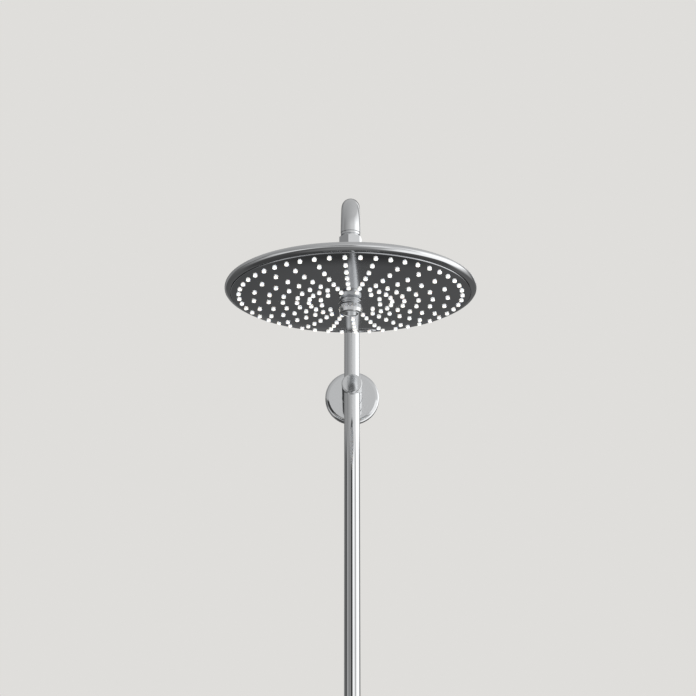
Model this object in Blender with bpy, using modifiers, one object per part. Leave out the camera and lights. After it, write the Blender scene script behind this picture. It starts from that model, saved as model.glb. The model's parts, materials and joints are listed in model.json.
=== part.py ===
"""Rainfall shower column: a wall bracket, a riser, a swivelling arm, a large round rain head on a
ball joint, and a thermostatic mixer that feeds it.

The wall is the plane y = 0 and the object stands out from it towards -Y, with +X to the right and
+Z up. The origin is the centre of the back of the upper wall flange. Sizes and places are in
millimetres, and MM turns them into metres where meshes and curves are made.
"""

import math

import bmesh
import bpy
from mathutils import Matrix, Vector

MM = 0.001
GAP = 0.3                      # left between pieces that touch on the real object

# Where the main axes stand
STANDOFF = 65.0                # riser and mixer axes, out from the wall
REACH = 450.0                  # head axis, out from the wall
ARM_Z = 128.0                  # centre line of the arm's level run
MIXER_Z = -900.0

# Column and arm
RISER_R = 11.0
RISER_BORE_R = 9.5
RISER_TOP_Z = -2.0
SPIGOT_R = 9.15                # sliding fit in the riser and the arm
BEND_R = 41.0                  # centre line of both bends of the arm
BRACKET_R = 14.5
BRACKET_END = 80.0             # front of the bracket, out from the wall
BRACKET_BORE_R = 11.4          # across the bracket, for the riser below and the arm above
FLANGE_R = 39.0
FLANGE_DEPTH = 9.0
FOOT_R = 28.0
FOOT_THICK = 4.0
FOOT_BOSS_R = 9.1
FOOT_BOSS_END = 18.0
FOOT_SCREW_X = 20.0

# Elbow, nut and ball joint, as heights on the head axis
ELBOW_R = 11.9
ELBOW_MOUTH_Z = 81.0
ELBOW_STRAIGHT = 14.0          # level length between the elbow's bend and the arm tube
NUT_FLATS = 25.0
NUT_TURN = -10.0               # degrees from a corner in front
NUT_BOTTOM_Z = 61.5
NUT_TOP_Z = 75.6
NUT_LIP = 3.0                  # floor of the nut, under the stem's flange
STEM_FLANGE = 2.0
NIPPLE_R = 10.2
BALL_Z = 46.0
BALL_R = 11.0
NECK_R = 5.5
SEAT_IN_R = 11.5
SEAT_OUT_R = 12.9
SOCKET_R = 13.4                # spherical hollow that holds the ball and its two seats
HUB_R = 16.0
HUB_SHOULDER_Z = 33.0          # where the hub flares out under the socket's collar
SOCKET_COLLAR_R = 19.0

# Rain head
HEAD_R = 150.0
FACE_R = 142.3
FACE_THICK = 1.5
DOME_DEPTH = 6.5
DOME_POWER = 3.85              # how flat the dome of the spray face is in the middle
FACE_Z = -0.6                  # underside of the face at the outer ring of nozzles
MAT_R = 137.0
MAT_THICK = 1.5
NOZZLE_RING_R = 133.2
NOZZLE_OUT = 2.0               # how far a nozzle stands out of the face
NOZZLE_BASE_R = 2.5
NOZZLE_TIP_R = 2.1
NOZZLE_HOLE_R = 2.95
OUTER_NOZZLES = 48
NOZZLE_ROWS = 24
ROW_RADII = (0.868, 0.734, 0.607, 0.4805, 0.372)   # parts of the outer ring's radius
INNER_RADIUS = 0.27            # on every second row only
ROW_TURN = -2.45               # degrees from the front of the head to the first row
PLATE_LOW = 6.3                # underside of the distributor plate
PLATE_TOP = 7.8
SCREW_RING_R = 120.0
HEAD_SCREWS = 3
SCREW_TURN = 97.0              # degrees from +X to the first screw, clear of the nozzles

# Mixer
BODY_R = 22.0
BODY_HALF = 95.0
OUTLET_R = 14.5
OUTLET_END = 34.0              # top of the outlet, above the mixer's axis
HOSE_BOSS_R = 13.0
HOSE_BOSS_END = 24.0           # below the mixer's axis
INLET_X = 75.0                 # supplies are 150 mm apart
INLET_R = 13.3
INLET_END = 29.0               # behind the mixer's axis
CARTRIDGE_R = 15.6
END_FLANGE_R = 14.0            # of the riser, clamped by the union nut
END_FLANGE_THICK = 2.0
WASHER_THICK = 2.0
UNION_OFFSET = 8.0             # the wall end of a union is this much above its mixer end
NUT_WALL_FLATS = 32.0
HANDLE_R = 24.0
HANDLE_END = 147.0
CAVITY_R = 19.5
BUTTON_X = 106.0
BUTTON_R = 3.9

FINE = 32                      # sides of the head
ROUND = 20                     # sides of the visible turned pieces
PLAIN = 16                     # sides of the hidden pieces
SMALL = 8                      # sides of screws and small holes
TOOL_TURN = 5.0                # degrees that a Boolean tool is turned, so that no edges coincide

DIRECTIONS = {"Z": (0, 0, 1), "-Z": (0, 0, -1), "X": (1, 0, 0), "-X": (-1, 0, 0), "Y": (0, 1, 0),
              "-Y": (0, -1, 0), "back right": (1, 1, 0)}

MATERIALS = {
    "chrome": ((0.72, 0.73, 0.74), 0.06, 1.0),
    "face_chrome": ((0.52, 0.53, 0.54), 0.08, 1.0),
    "silicone": ((0.86, 0.86, 0.85), 0.55, 0.0),
    "brass": ((0.62, 0.46, 0.22), 0.30, 1.0),
    "plastic": ((0.12, 0.12, 0.13), 0.45, 0.0),
    "rubber": ((0.03, 0.03, 0.03), 0.70, 0.0),
    "steel": ((0.55, 0.56, 0.57), 0.30, 1.0),
    "button_grey": ((0.30, 0.31, 0.32), 0.35, 0.0),
}


# ---------------------------------------------------------------- scene and helpers

def clear_scene():
    for obj in list(bpy.data.objects):
        bpy.data.objects.remove(obj, do_unlink=True)


def make_collection(name):
    collection = bpy.data.collections.new(name)
    bpy.context.scene.collection.children.link(collection)
    return collection


def make_materials():
    made = {}
    for name, (colour, roughness, metallic) in MATERIALS.items():
        material = bpy.data.materials.new(name)
        material.use_nodes = True
        shader = material.node_tree.nodes["Principled BSDF"]
        shader.inputs["Base Color"].default_value = (*colour, 1.0)
        shader.inputs["Roughness"].default_value = roughness
        shader.inputs["Metallic"].default_value = metallic
        made[name] = material
    return made


clear_scene()
PARTS = make_collection("rainfall_shower_column")
CUTTERS = make_collection("cutters")
SLOTS = make_materials()


def add_part(name, data, slot):
    obj = bpy.data.objects.new(name, data)
    obj.data.materials.append(SLOTS[slot])
    PARTS.objects.link(obj)
    return obj


def place(obj, at, along="Z"):
    """Put an object's own origin at a point in millimetres and turn its local +Z along a direction."""
    obj.location = Vector(at) * MM
    obj.rotation_euler = Vector(DIRECTIONS[along]).to_track_quat("Z", "Y").to_euler()
    return obj


def smooth(obj, angle=35):
    obj.data.shade_smooth()
    obj.data.set_sharp_from_angle(angle=math.radians(angle))


def arc(centre, radius, start, end, steps):
    """Points on an arc, as (radius, height) pairs; angles in degrees from outwards to upwards."""
    points = []
    for i in range(steps + 1):
        angle = math.radians(start + (end - start) * i / steps)
        points.append((centre[0] + radius * math.cos(angle), centre[1] + radius * math.sin(angle)))
    return points


def turned(name, outline, slot, at=(0, 0, 0), along="Z", sides=PLAIN):
    """A turned piece. The outline runs down the outer side, and closes itself off the axis."""
    mesh = bpy.data.meshes.new(name)
    edges = [(i, i + 1) for i in range(len(outline) - 1)]
    if outline[0][0] > 0:
        edges.append((len(outline) - 1, 0))
    mesh.from_pydata([(r * MM, 0.0, z * MM) for r, z in outline], edges, [])
    obj = add_part(name, mesh, slot)
    screw = obj.modifiers.new("turn", "SCREW")
    screw.axis = "Z"
    screw.steps = sides
    screw.render_steps = sides
    screw.use_merge_vertices = True
    screw.merge_threshold = 0.00001
    screw.use_smooth_shade = True
    return place(obj, at, along)


def ring(name, outer_r, inner_r, low, high, slot, **where):
    outline = [(outer_r, high), (outer_r, low), (inner_r, low), (inner_r, high)]
    return turned(name, outline, slot, **where)


def prism(name, radius, low, high, sides, slot, at=(0, 0, 0), along="Z", turn=0.0):
    """A prism between two heights, with its first corner turned by some degrees."""
    mesh = bpy.data.meshes.new(name)
    bm = bmesh.new()
    middle = Matrix.Translation((0, 0, (low + high) / 2 * MM)) @ Matrix.Rotation(math.radians(turn), 4, "Z")
    bmesh.ops.create_cone(bm, cap_ends=True, segments=sides, radius1=radius * MM, radius2=radius * MM,
                          depth=(high - low) * MM, matrix=middle)
    bm.to_mesh(mesh)
    bm.free()
    return place(add_part(name, mesh, slot), at, along)


def rod(name, radius, low, high, slot, at=(0, 0, 0), along="Z", sides=PLAIN):
    return prism(name, radius, low, high, sides, slot, at, along)


def combine(target, tool, operation):
    """Cut, join or intersect a piece with another, which becomes a hidden tool."""
    PARTS.objects.unlink(tool)
    CUTTERS.objects.link(tool)
    tool.hide_render = True
    tool.display_type = "WIRE"
    modifier = target.modifiers.new(operation.lower(), "BOOLEAN")
    modifier.operation = operation
    modifier.solver = "EXACT"
    modifier.object = tool


def cut(target, tool):
    combine(target, tool, "DIFFERENCE")


def join(target, tool):
    combine(target, tool, "UNION")


def bore(target, label, radius, low, high, at=(0, 0, 0), along="Z", sides=PLAIN):
    """Cut a round hole; its tool is turned a little so that its edges meet no edge of the piece."""
    name = f"{target.name}_{label}"
    cut(target, prism(name, radius, low, high, sides, "steel", at, along, turn=TOOL_TURN))


def boss(target, label, radius, low, high, at=(0, 0, 0), along="Z", sides=PLAIN):
    """Add a round boss to a piece."""
    name = f"{target.name}_{label}"
    join(target, prism(name, radius, low, high, sides, "steel", at, along, turn=TOOL_TURN / 2))


def swept(name, points, radius, slot):
    """A round bar along a path in the plane x = 0, as a mesh with closed ends."""
    curve = bpy.data.curves.new(name + "_path", "CURVE")
    curve.dimensions = "3D"
    curve.bevel_depth = radius * MM
    curve.bevel_resolution = 6
    curve.use_fill_caps = True
    spline = curve.splines.new("POLY")
    spline.points.add(len(points) - 1)
    for point, (y, z) in zip(spline.points, points):
        point.co = (0.0, y * MM, z * MM, 1.0)
    path = bpy.data.objects.new(name + "_path", curve)
    PARTS.objects.link(path)
    depsgraph = bpy.context.evaluated_depsgraph_get()
    mesh = bpy.data.meshes.new_from_object(path.evaluated_get(depsgraph))
    bpy.data.objects.remove(path)
    bm = bmesh.new()
    bm.from_mesh(mesh)
    bmesh.ops.remove_doubles(bm, verts=bm.verts, dist=0.00001)
    bmesh.ops.recalc_face_normals(bm, faces=bm.faces)
    bm.to_mesh(mesh)
    bm.free()
    mesh.materials.clear()
    return add_part(name, mesh, slot)


# ---------------------------------------------------------------- wall bracket and riser

def wall_flange():
    """A thin cover over the foot, with a hole for the bracket."""
    lip, wall, hole_r = 5.5, 1.6, BRACKET_R + GAP
    outline = [(hole_r, FLANGE_DEPTH)] + arc((FLANGE_R - lip, FLANGE_DEPTH - lip), lip, 90, 0, 3)
    outline += [(FLANGE_R, 0.0), (FLANGE_R - wall, 0.0), (FLANGE_R - wall, FLANGE_DEPTH - lip)]
    outline += [(FLANGE_R - lip, FLANGE_DEPTH - wall), (hole_r, FLANGE_DEPTH - wall)]
    turned("wall_flange", outline, "chrome", along="-Y", sides=24)


def bracket_foot():
    """The plate screwed to the wall, with a boss that the bracket slides over."""
    outline = [(0, FOOT_BOSS_END), (FOOT_BOSS_R, FOOT_BOSS_END), (FOOT_BOSS_R, FOOT_THICK)]
    outline += [(FOOT_R, FOOT_THICK), (FOOT_R, 0), (0, 0)]
    foot = turned("bracket_foot", outline, "brass", along="-Y")
    shank_r, head_r, head_low, head_thick = 2.0, 4.0, FOOT_THICK + GAP, 2.0
    screw = [(0, head_low + head_thick), (head_r - 1, head_low + head_thick), (head_r, head_low)]
    screw += [(shank_r, head_low), (shank_r, 0), (0, 0)]
    for side, label in ((-1, "left"), (1, "right")):
        where = {"at": (side * FOOT_SCREW_X, 0, 0), "along": "-Y", "sides": SMALL}
        bore(foot, "hole_" + label, shank_r + 0.4, -1, FOOT_THICK + 1, **where)
        turned("foot_screw_" + label, screw, "steel", **where)


def riser_bracket():
    """A round bar out from the wall foot, bored across for the riser and the arm, with a crowned front."""
    lip, crown = 2.5, 0.4
    edge = arc((BRACKET_R - lip, BRACKET_END - crown - lip), lip, 80, 0, 3)
    outline = [(0, BRACKET_END)] + edge + [(BRACKET_R, FOOT_THICK + GAP), (0, FOOT_THICK + GAP)]
    bracket = turned("riser_bracket", outline, "chrome", along="-Y", sides=ROUND)
    bore(bracket, "foot_bore", FOOT_BOSS_R + GAP, 0, FOOT_BOSS_END + GAP, along="-Y")
    bore(bracket, "riser_bore", BRACKET_BORE_R, -20, 20, at=(0, -STANDOFF, 0), sides=ROUND)
    grub_r, grub_end = 2.0, 15.4
    for height, label in ((-7.0, "riser"), (7.0, "arm")):
        where = {"at": (0, -STANDOFF, height), "along": "back right", "sides": SMALL}
        bore(bracket, label + "_grub_hole", grub_r + GAP, 8, 24, **where)
        rod(label + "_grub_screw", grub_r, RISER_R + GAP, grub_end, "steel", **where)


def riser_tube():
    """The riser, with the end flange that stands on its washer on the mixer's outlet."""
    low = MIXER_Z + OUTLET_END + WASHER_THICK + 2 * GAP
    flange_top = low + END_FLANGE_THICK
    outline = [(RISER_R, RISER_TOP_Z), (RISER_R, flange_top), (END_FLANGE_R, flange_top), (END_FLANGE_R, low),
               (RISER_BORE_R, low), (RISER_BORE_R, RISER_TOP_Z)]
    turned("riser_tube", outline, "chrome", at=(0, -STANDOFF, 0), sides=ROUND)


# ---------------------------------------------------------------- arm

def bend(centre, start, end, steps=6):
    """Points (y, z) on the centre line of one of the arm's quarter bends."""
    return arc(centre, BEND_R, start, end, steps)


def arm_tube():
    """The tube from the riser up through the large bend and out over the room."""
    far_end = -REACH + BEND_R + ELBOW_STRAIGHT + GAP
    path = [(-STANDOFF, RISER_TOP_Z + GAP)] + bend((-STANDOFF - BEND_R, ARM_Z - BEND_R), 0, 90)
    path.append((far_end, ARM_Z))
    arm = swept("arm_tube", path, RISER_R, "chrome")
    inside = [(-STANDOFF, -10)] + path[1:-1] + [(far_end - 5, ARM_Z)]
    cut(arm, swept("arm_bore", inside, RISER_BORE_R, "chrome"))
    smooth(arm)


def arm_elbow():
    """The cast elbow at the arm's end, and the sleeve that joins it to the tube."""
    near_end = -REACH + BEND_R + ELBOW_STRAIGHT
    path = [(near_end, ARM_Z)] + bend((-REACH + BEND_R, ARM_Z - BEND_R), 90, 180)
    path.append((-REACH, ELBOW_MOUTH_Z))
    elbow = swept("arm_elbow", path, ELBOW_R, "chrome")
    inside = [(near_end + 5, ARM_Z)] + path[1:-1] + [(-REACH, ELBOW_MOUTH_Z - 5)]
    cut(elbow, swept("elbow_bore", inside, RISER_BORE_R, "chrome"))
    bore(elbow, "socket", NIPPLE_R + 0.5, ELBOW_MOUTH_Z - 5, ELBOW_MOUTH_Z + 8, at=(0, -REACH, 0))
    smooth(elbow)
    joint, half_length, sleeve_bore_r = REACH - BEND_R - ELBOW_STRAIGHT, 12.0, 7.8
    ring("elbow_sleeve", SPIGOT_R, sleeve_bore_r, joint - half_length, joint + half_length, "brass",
         at=(0, 0, ARM_Z), along="-Y")


def swivel_spigot():
    """The arm's spigot that turns inside the riser on two O-rings."""
    low, high, bore_r = -34.0, 30.0, 6.8
    groove_r, half_groove = 8.0, 1.0
    oring_r, section_r = 8.75, 0.55
    grooves = {"upper": -14.0, "lower": -24.0}
    outline = [(SPIGOT_R, high)]
    for groove in grooves.values():
        outline += [(SPIGOT_R, groove + half_groove), (groove_r, groove + half_groove)]
        outline += [(groove_r, groove - half_groove), (SPIGOT_R, groove - half_groove)]
    outline += [(SPIGOT_R, low), (bore_r, low), (bore_r, high)]
    turned("swivel_spigot", outline, "brass", at=(0, -STANDOFF, 0))
    for label, groove in grooves.items():
        section = arc((oring_r, groove), section_r, 90, -270, 4)[:-1]
        turned("swivel_oring_" + label, section, "rubber", at=(0, -STANDOFF, 0))


def arm_nipple():
    """The nipple between the elbow and the nut, with a flange that shows between them, and its washer."""
    flange_r, bore_r, washer_hole_r, socket_depth = 11.5, 7.0, 4.0, 7.5
    flange_low, flange_high = NUT_TOP_Z + GAP, ELBOW_MOUTH_Z - GAP
    washer_low = NUT_BOTTOM_Z + NUT_LIP + STEM_FLANGE + 2 * GAP
    low, high = washer_low + WASHER_THICK + GAP, ELBOW_MOUTH_Z + socket_depth
    outline = [(NIPPLE_R, high), (NIPPLE_R, flange_high), (flange_r, flange_high), (flange_r, flange_low),
               (NIPPLE_R, flange_low), (NIPPLE_R, low), (bore_r, low), (bore_r, high)]
    turned("arm_nipple", outline, "chrome", at=(0, -REACH, 0))
    ring("arm_strainer_washer", NIPPLE_R, washer_hole_r, washer_low, washer_low + WASHER_THICK, "rubber",
         at=(0, -REACH, 0))


def hex_nut(name, flats, low, high, at, along, turn=0.0):
    """A hexagonal nut whose corners are turned off at both ends."""
    corner_r = flats / 2 / math.cos(math.pi / 6)
    nut = prism(name, corner_r, low, high, 6, "chrome", at=at, along=along, turn=turn)
    chamfer, past_end = 1.2, 1.0
    face_r, widest_r = flats / 2 - 0.2, flats / 2 - 0.2 + 2 * chamfer
    outline = [(0, high + past_end), (face_r - 2 * past_end, high + past_end), (widest_r, high - chamfer),
               (widest_r, low + chamfer), (face_r - 2 * past_end, low - past_end), (0, low - past_end)]
    combine(nut, turned(name + "_chamfer", outline, "chrome", at=at, along=along), "INTERSECT")
    return nut


def ball_nut():
    """The nut that clamps the ball's stem on the nipple."""
    at = (0, -REACH, 0)
    nut = hex_nut("ball_nut", NUT_FLATS, NUT_BOTTOM_Z, NUT_TOP_Z, at, "Z", turn=NUT_TURN)
    bore(nut, "thread", NIPPLE_R + 0.5, NUT_BOTTOM_Z + NUT_LIP, NUT_TOP_Z + 5, at=at)
    bore(nut, "neck_hole", NECK_R + 0.6, NUT_BOTTOM_Z - 5, NUT_TOP_Z, at=at)


def ball_stem():
    """The ball, its neck and the flange that the nut pulls up, with a waterway through them."""
    bore_r = 3.8
    neck_angle = math.degrees(math.acos(NECK_R / BALL_R))
    bore_angle = -math.degrees(math.acos(bore_r / BALL_R))
    flange_low = NUT_BOTTOM_Z + NUT_LIP + GAP
    flange_top = flange_low + STEM_FLANGE
    outline = [(NIPPLE_R, flange_top), (NIPPLE_R, flange_low), (NECK_R, flange_low)]
    outline += arc((0, BALL_Z), BALL_R, neck_angle, bore_angle, 8)
    outline.append((bore_r, flange_top))
    turned("ball_stem", outline, "chrome", at=(0, -REACH, 0))


# ---------------------------------------------------------------- rain head

def ball_seats():
    """Two plastic rings on the ball, each a zone of a sphere so that it can turn any way."""
    for label, high, low in (("upper", 36, 13), ("lower", -13, -44)):
        outline = arc((0, BALL_Z), SEAT_OUT_R, high, low, 2) + arc((0, BALL_Z), SEAT_IN_R, low, high, 2)
        turned("ball_seat_" + label, outline, "plastic", at=(0, -REACH, 0))


def socket_collar():
    """The ring nut that holds the ball in the head's hub."""
    opening = arc((0, BALL_Z), SOCKET_R, 4.3, 37, 3)
    mouth_r, top_r, skirt_r, foot = 11.6, 14.0, HUB_R + 0.4, HUB_SHOULDER_Z + GAP
    top, shoulder, seal_step = BALL_Z + 8.6, BALL_Z + 5.0, BALL_Z + 1.0
    outline = [(mouth_r, top), (top_r, top), (SOCKET_COLLAR_R, shoulder), (SOCKET_COLLAR_R, foot)]
    outline += [(skirt_r, foot), (skirt_r, seal_step)] + opening
    turned("socket_collar", outline, "chrome", at=(0, -REACH, 0), sides=ROUND)
    seal_r, section_r = 14.8, 0.65
    seal = arc((seal_r, BALL_Z), section_r, 90, -270, 4)[:-1]
    turned("socket_seal", seal, "rubber", at=(0, -REACH, 0))


def head_shell():
    """The head's back, its rim and its hub, turned in one piece, with bosses for its screws."""
    hub_top = BALL_Z - 1.0
    hub_edge = math.sqrt(SOCKET_R ** 2 - 1.0)
    neck = arc((28.0, HUB_SHOULDER_Z + 2.0), 7.5, 205, 262, 2)
    rim_r = 5.5
    rim = arc((HEAD_R - rim_r, 7.8), rim_r, 80, -20, 4)
    outline = [(hub_edge, hub_top), (HUB_R, hub_top), (HUB_R, HUB_SHOULDER_Z)] + neck
    outline += [(60.0, 24.6), (100.0, 20.4), (132.0, 15.2)] + rim
    outline += [(143.5, 1.9), (143.3, 3.5), (139.2, 3.5), (139.2, 10.6)]
    outline += [(131.0, 13.2), (100.0, 18.2), (60.0, 22.2), (7.0, 24.4)]
    outline += arc((0, BALL_Z), SOCKET_R, -58, -9, 4)
    shell = turned("head_shell", outline, "chrome", at=(0, -REACH, 0), sides=FINE)
    boss_r, boss_top, shank_r, shank_top = 4.0, 16.5, 1.4, 13.0
    head_r, head_low, head_top = 3.0, 4.4, PLATE_LOW - GAP
    screw = [(0, shank_top), (shank_r, shank_top), (shank_r, head_top)]
    screw += [(head_r, head_top), (head_r, head_low), (0, head_low)]
    for x, y, index in screw_places():
        where = {"at": (x, y, 0), "sides": SMALL}
        boss(shell, f"boss_{index}", boss_r, PLATE_TOP + GAP, boss_top, **where)
        bore(shell, f"boss_hole_{index}", shank_r + 0.5, PLATE_TOP - 1, shank_top + 0.5, **where)
        turned(f"distributor_screw_{index}", screw, "steel", **where)


def screw_places():
    """The plan position and number of each screw that holds the distributor plate."""
    for index in range(HEAD_SCREWS):
        angle = math.radians(SCREW_TURN + 360 * index / HEAD_SCREWS)
        yield SCREW_RING_R * math.cos(angle), -REACH + SCREW_RING_R * math.sin(angle), index + 1


def face_z(radius):
    """Height of the underside of the domed spray face."""
    return FACE_Z - DOME_DEPTH * (1 - (radius / NOZZLE_RING_R) ** DOME_POWER)


def domed_plate(name, radius, low, thick, slot):
    """A thin plate that follows the dome; its facets' edges run between the nozzles."""
    radii = [0.0, 72.4, 106.7, 124.4, radius]   # closer together where the dome curves more
    top = [(r, face_z(r) + low + thick) for r in radii]
    bottom = [(r, face_z(r) + low) for r in reversed(radii)]
    plate = turned(name, top + bottom, slot, at=(0, -REACH, 0), sides=NOZZLE_ROWS)
    plate.rotation_euler.z = math.radians(ROW_TURN + 90 / NOZZLE_ROWS)
    return plate


def nozzle_places():
    """The plan position of each nozzle about the head's axis."""
    for index in range(OUTER_NOZZLES):
        yield NOZZLE_RING_R, ROW_TURN + 360 / OUTER_NOZZLES * index
    for row in range(NOZZLE_ROWS):
        turn = ROW_TURN + 360 / NOZZLE_ROWS * row
        for part in ROW_RADII:
            yield NOZZLE_RING_R * part, turn
        if row % 2 == 1:
            yield NOZZLE_RING_R * INNER_RADIUS, turn


def nozzle_pegs(name, slot, base_r, tip_r, top, bottom):
    """All the nozzles, or all their holes, as one tool; heights are from the face's underside."""
    bm = bmesh.new()
    for radius, turn in nozzle_places():
        middle = Vector((radius, 0, face_z(radius) + (top + bottom) / 2)) * MM
        spot = Matrix.Rotation(math.radians(turn - 90), 4, "Z") @ Matrix.Translation(middle)
        bmesh.ops.create_cone(bm, cap_ends=True, segments=4, radius1=tip_r * MM, radius2=base_r * MM,
                              depth=(top - bottom) * MM, matrix=spot)
    mesh = bpy.data.meshes.new(name)
    bm.to_mesh(mesh)
    bm.free()
    return place(add_part(name, mesh, slot), (0, -REACH, 0))


def spray_face():
    """The chromed plate with a square hole for each nozzle."""
    face = domed_plate("spray_face", FACE_R, 0.0, FACE_THICK, "face_chrome")
    cut(face, nozzle_pegs("nozzle_holes", "face_chrome", NOZZLE_HOLE_R, NOZZLE_HOLE_R, 4.0, -3.0))


def nozzle_mat():
    """The silicone mat behind the face, in one piece with all its nozzles."""
    above_face = FACE_THICK + 2 * GAP
    mat = domed_plate("nozzle_mat", MAT_R, above_face, MAT_THICK, "silicone")
    root = above_face + MAT_THICK / 2
    tips = nozzle_pegs("nozzle_tips", "silicone", NOZZLE_BASE_R, NOZZLE_TIP_R, root, -NOZZLE_OUT)
    join(mat, tips)


def distributor_plate():
    """The plate that spreads the water over the mat and seals the chamber at its edge."""
    plate_r, screw_hole_r, flow_hole_r, flow_ring_r, flow_holes = 138.7, 2.0, 4.0, 60.0, 6
    below, above = PLATE_LOW - 1, PLATE_TOP + 1
    plate = rod("distributor_plate", plate_r, PLATE_LOW, PLATE_TOP, "plastic", at=(0, -REACH, 0), sides=FINE)
    for x, y, index in screw_places():
        bore(plate, f"screw_hole_{index}", screw_hole_r, below, above, at=(x, y, 0), sides=SMALL)
    for index in range(flow_holes):
        angle = 2 * math.pi * index / flow_holes
        at = (flow_ring_r * math.cos(angle), -REACH + flow_ring_r * math.sin(angle), 0)
        bore(plate, f"flow_hole_{index}", flow_hole_r, below, above, at=at, sides=SMALL)
    seal_out_r, seal_in_r, seal_low = 136.4, 134.4, 4.3
    ring("face_seal", seal_out_r, seal_in_r, seal_low, PLATE_LOW - GAP, "rubber",
         at=(0, -REACH, 0), sides=FINE)


# ---------------------------------------------------------------- mixer

def mixer_body():
    """The valve body: a round bar bored from both ends, with bosses for outlet, hose and supplies."""
    centre = (0, -STANDOFF, MIXER_Z)
    root = 10.0
    lip = 2.0
    outline = [(0, BODY_HALF), (BODY_R - lip, BODY_HALF), (BODY_R, BODY_HALF - lip)]
    outline += [(BODY_R, lip - BODY_HALF), (BODY_R - lip, -BODY_HALF), (0, -BODY_HALF)]
    body = turned("mixer_body", outline, "chrome", at=centre, along="X", sides=ROUND)
    boss(body, "outlet_boss", OUTLET_R, root, OUTLET_END, at=centre, sides=ROUND)
    boss(body, "hose_boss", HOSE_BOSS_R, root, HOSE_BOSS_END, at=centre, along="-Z", sides=ROUND)
    ends = (("left", "-X", (-INLET_X, -STANDOFF, MIXER_Z)), ("right", "X", (INLET_X, -STANDOFF, MIXER_Z)))
    for label, along, inlet in ends:
        boss(body, label + "_inlet_boss", INLET_R, root, INLET_END, at=inlet, along="Y")
    for label, along, inlet in ends:
        bore(body, label + "_cartridge_bore", CARTRIDGE_R + 0.6, 42, BODY_HALF + 5, at=centre, along=along)
        bore(body, label + "_inlet_bore", 7.0, 2, INLET_END + 6, at=inlet, along="Y", sides=SMALL)
    bore(body, "cross_bore", 7.5, -60, 60, at=centre, along="X", sides=SMALL)
    bore(body, "outlet_bore", 9.0, 2, OUTLET_END + 6, at=centre, sides=SMALL)
    bore(body, "hose_bore", 8.2, 1, HOSE_BOSS_END + 6, at=centre, along="-Z", sides=PLAIN)


def riser_union():
    """The nut and washer that clamp the riser's end flange on the mixer's outlet."""
    at = (0, -STANDOFF, MIXER_Z)
    washer_low = OUTLET_END + GAP
    low, shoulder, high = 26.0, washer_low + WASHER_THICK + GAP + END_FLANGE_THICK + 0.4, 43.0
    nut_r, thread_r, neck_r, edge_r = 18.0, OUTLET_R + GAP, RISER_R + 0.4, 1.5
    edge = arc((nut_r - edge_r, high - edge_r), edge_r, 90, 0, 2)
    outline = [(neck_r, high)] + edge
    outline += [(nut_r, low), (thread_r, low), (thread_r, shoulder), (neck_r, shoulder)]
    turned("riser_union_nut", outline, "chrome", at=at)
    ring("riser_union_washer", 13.9, RISER_BORE_R, washer_low, washer_low + WASHER_THICK, "rubber", at=at)


def cartridges():
    """The thermostatic and the diverter cartridge, each with the ring that stops its handle."""
    shaft_r, waist_r, ring_out_r, ring_in_r = 4.0, 13.0, 18.0, 8.0
    outline = [(0, 108), (shaft_r, 108), (shaft_r, 92), (CARTRIDGE_R, 92), (CARTRIDGE_R, 80), (waist_r, 78)]
    outline += [(waist_r, 66), (CARTRIDGE_R, 64), (CARTRIDGE_R, 44), (0, 44)]
    for name, along in (("thermostatic", "X"), ("diverter", "-X")):
        where = {"at": (0, -STANDOFF, MIXER_Z), "along": along}
        turned(name + "_cartridge", outline, "brass", **where)
        ring(name + "_stop_ring", ring_out_r, ring_in_r, BODY_HALF + GAP, BODY_HALF + 4, "plastic", **where)


def handle(name, side):
    """A hollow handle, its spline adapter, its screw and cap, and its push button and spring."""
    where = {"at": (0, -STANDOFF, MIXER_Z), "along": "X" if side > 0 else "-X"}
    edge_r, cap_r, hub_r, screw_r = 4.0, 12.0, 6.0, 1.9
    open_end, cavity_end, hub_end, seat, cap_low = BODY_HALF + 1.3, 116.0, 130.0, 134.0, 141.0
    outline = [(cap_r + GAP, HANDLE_END)] + arc((HANDLE_R - edge_r, HANDLE_END - edge_r), edge_r, 90, 0, 2)
    outline += [(HANDLE_R, open_end), (CAVITY_R, open_end), (CAVITY_R, cavity_end), (hub_r, cavity_end)]
    outline += [(hub_r, hub_end), (screw_r + 0.5, hub_end), (screw_r + 0.5, seat), (5, seat), (5, cap_low)]
    outline.append((cap_r + GAP, cap_low))
    shell = turned(name + "_handle", outline, "chrome", sides=ROUND, **where)
    button_at = (side * BUTTON_X, -STANDOFF, MIXER_Z)
    bore(shell, "button_hole", BUTTON_R + 0.5, 12, HANDLE_R + 6, at=button_at, sides=SMALL)
    adapter = [(hub_r - GAP, 128), (hub_r - GAP, 103), (4.7, 103), (4.7, 110), (2.5, 112), (2.5, 128)]
    turned(name + "_adapter", adapter, "plastic", sides=SMALL, **where)
    screw = [(0, 138), (4.5, 138), (4.5, seat + GAP), (screw_r, seat + GAP), (screw_r, 114), (0, 114)]
    turned(name + "_screw", screw, "steel", sides=SMALL, **where)
    rod(name + "_cap", cap_r, cap_low + GAP, HANDLE_END, "chrome", **where)
    button(name, button_at)


def button(name, at):
    """The button in a handle's side, kept in by its flange and guided by the pin under it."""
    top, flange_r, pin_r, pin_low = 25.2, 5.3, 1.4, 12.5
    outline = [(0, top), (BUTTON_R - 0.8, top), (BUTTON_R, top - 0.8), (BUTTON_R, 18.4), (flange_r, 18.4)]
    outline += [(flange_r, 16.6), (pin_r, 16.6), (pin_r, pin_low), (0, pin_low)]
    turned(name + "_button", outline, "button_grey", at=at, sides=SMALL)
    spring(name + "_button_spring", at)


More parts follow.
